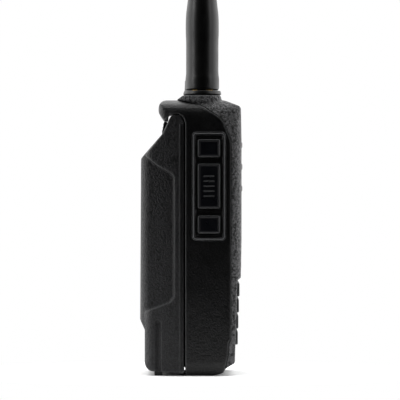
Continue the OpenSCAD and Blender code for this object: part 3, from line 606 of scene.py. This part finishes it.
class RADIO_OT_inner_parts(bpy.types.Operator):
    """Gives the pieces inside the radio their own materials"""

    bl_idname = "radio.inner_parts"
    bl_label = "Inner Parts"

    def execute(self, context):
        edge = 0.1 * MM
        # glass laminate under green solder mask, half glossy
        board = moulded("solder_mask_laminate", linear("12412A"), 0.35, 0.5 * MM, 0.01 * MM, 0.2)
        # gold flash over brass, which keeps the contacts bright
        gold = metal("gold_flashed_brass", linear("D9B36A"), 0.25)
        # tinned sheet and die-cast aluminium: a bright and a dull grey
        steel = metal("tinned_steel", linear("B9BABC"), 0.3)
        cast = metal("die_cast_aluminium", linear("A9ABAE"), 0.45)
        # heat-shrunk film: smooth blue with long soft waves
        wrap = moulded("shrink_wrap", linear("23406B"), 0.3, 2 * MM, 0.02 * MM, 0.1)
        # woven dust cloth, whose threads are drawn coarser than the real 0.1 mm to show
        felt = moulded("dust_cloth", linear("161616"), 0.9, 0.25 * MM, 0.08 * MM, 0.6)
        # silicone and nylon: a pale and a dark matt grey
        seal = moulded("silicone_seal", linear("6F7474"), 0.5, 0.5 * MM, 0.01 * MM, 0.1)
        ribbed = moulded("moulded_nylon", linear("2B2B2B"), 0.5, 0.4 * MM, 0.01 * MM, 0.2)
        dress(["main_board", "side_switch_board", "battery_board"], board, edge)
        dress(["antenna_jack", "antenna_whip", "antenna_plug", "battery_contacts"], gold, edge)
        dress(["speaker_basket", "shield_cans", "knob_shaft", "chassis_screws", "microphone"],
              steel, edge)
        dress(["chassis_plate", "latch_spring"], cast, edge)
        dress(["battery_cells"], wrap, edge)
        dress(["speaker_mesh", "speaker_cone"], felt, 0.05 * MM)
        dress(["keypad_mat", "main_seal"], seal, edge)
        dress(["display_frame", "volume_control", "contact_block", "speaker_magnet"], ribbed,
              edge)
        return {"FINISHED"}


class RADIO_OT_stage(bpy.types.Operator):
    """Sets the pale floor, the soft lights and the camera"""

    bl_idname = "radio.stage"
    bl_label = "Stage"

    def execute(self, context):
        scene = context.scene
        tones = scene.radio_colours
        bm = bmesh.new()
        bmesh.ops.create_circle(bm, cap_ends=True, segments=96, radius=FLOOR_RADIUS)
        mesh = bpy.data.meshes.new("floor")
        bm.to_mesh(mesh)
        bm.free()
        floor = bpy.data.objects.new("floor", mesh)
        scene.collection.objects.link(floor)
        paint(floor, moulded("matt_white_paint", tones.floor, 0.9, 4 * MM, 0.02 * MM, 0.02))
        lamp("top_softbox", (0.25, 0, 1.1), (0.05, 0, 0.05), 0.9, 1.2, 6)
        lamp("rear_strip", (-0.35, 0.8, 0.45), (0, 0, 0.06), 0.25, 0.9, 3.0)
        lamp("front_strip", (-0.45, -0.75, 0.45), (0, 0, 0.06), 0.25, 0.9, 1.5)
        world = bpy.data.worlds.new("studio")
        world.use_nodes = True
        tree = world.node_tree
        tree.nodes.clear()
        # a white room that is dark where the dark side of the radio faces it
        way = add(tree, "ShaderNodeTexCoord").outputs["Generated"]
        facing = add(tree, "ShaderNodeVectorMath", {0: way, 1: (-1, 0, 0)}, operation="DOT_PRODUCT")
        share = add(tree, "ShaderNodeMapRange", {
            "Value": facing.outputs["Value"], "From Min": -1.0, "From Max": 1.0})
        ramp = add(tree, "ShaderNodeValToRGB", {"Fac": share.outputs["Result"]})
        while len(ramp.color_ramp.elements) < len(WALLS):
            ramp.color_ramp.elements.new(0.5)
        for stop, (place, light) in zip(ramp.color_ramp.elements, WALLS):
            stop.position = place
            stop.color = (light, light, light, 1)
        seen = add(tree, "ShaderNodeLightPath").outputs["Is Camera Ray"]
        room = add(tree, "ShaderNodeBackground", {"Color": ramp.outputs["Color"], "Strength": 1.0})
        white = add(tree, "ShaderNodeBackground", {"Color": (1, 1, 1, 1), "Strength": 1.0})
        mixed = add(tree, "ShaderNodeMixShader", {
            "Fac": seen, 1: room.outputs["Background"], 2: white.outputs["Background"]})
        add(tree, "ShaderNodeOutputWorld", {"Surface": mixed.outputs["Shader"]})
        scene.world = world
        scene.view_settings.view_transform = "Standard"
        scene.view_settings.gamma = 0.88
        scene.camera = camera()
        return {"FINISHED"}


def lamp(name, place, target, width, height, power):
    """A soft box at a place, facing a target."""
    light = bpy.data.lights.new(name, "AREA")
    light.shape = "RECTANGLE"
    light.size = width
    light.size_y = height
    light.energy = power
    obj = bpy.data.objects.new(name, light)
    bpy.context.scene.collection.objects.link(obj)
    obj.location = place
    aim = Vector(target) - Vector(place)
    obj.rotation_euler = aim.to_track_quat("-Z", "Y").to_euler()
    return obj


def camera():
    """A long lens level with the radio's middle, square to its push-to-talk side."""
    view = bpy.data.cameras.new("camera")
    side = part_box("rear_housing")[0].x
    view.sensor_width = 36
    view.lens = view.sensor_width * CAMERA_DISTANCE / CAMERA_FIELD
    view.clip_start = 0.05
    obj = bpy.data.objects.new("camera", view)
    bpy.context.scene.collection.objects.link(obj)
    obj.location = (side - CAMERA_DISTANCE, CAMERA_DEPTH, CAMERA_HEIGHT)
    obj.rotation_euler = (math.radians(90), 0, math.radians(-90))
    return obj


STEPS = (
    RADIO_OT_casings, RADIO_OT_side_keys, RADIO_OT_keypad, RADIO_OT_display,
    RADIO_OT_antenna, RADIO_OT_fittings, RADIO_OT_inner_parts, RADIO_OT_stage)


class RADIO_PT_panel(bpy.types.Panel):
    """Lists the radio's steps and settings"""

    bl_idname = "RADIO_PT_panel"
    bl_label = "Radio"
    bl_space_type = "VIEW_3D"
    bl_region_type = "UI"
    bl_category = "Radio"

    def draw(self, context):
        for group in (context.scene.radio_sizes, context.scene.radio_colours):
            box = self.layout.box()
            for name in group.__annotations__:
                box.prop(group, name)
        for step in STEPS:
            self.layout.operator(step.bl_idname)


CLASSES = (RadioSizes, RadioColours, *STEPS, RADIO_PT_panel)


def register():
    """Registers the classes and their settings."""
    for cls in CLASSES:
        bpy.utils.register_class(cls)
    bpy.types.Scene.radio_sizes = PointerProperty(type=RadioSizes)
    bpy.types.Scene.radio_colours = PointerProperty(type=RadioColours)


def unregister():
    """Removes the settings and the classes."""
    del bpy.types.Scene.radio_colours
    del bpy.types.Scene.radio_sizes
    for cls in reversed(CLASSES):
        bpy.utils.unregister_class(cls)


def main():
    """Runs every step in order."""
    register()
    for step in STEPS:
        group, name = step.bl_idname.split(".")
        getattr(getattr(bpy.ops, group), name)()


if __name__ == "__main__":
    main()
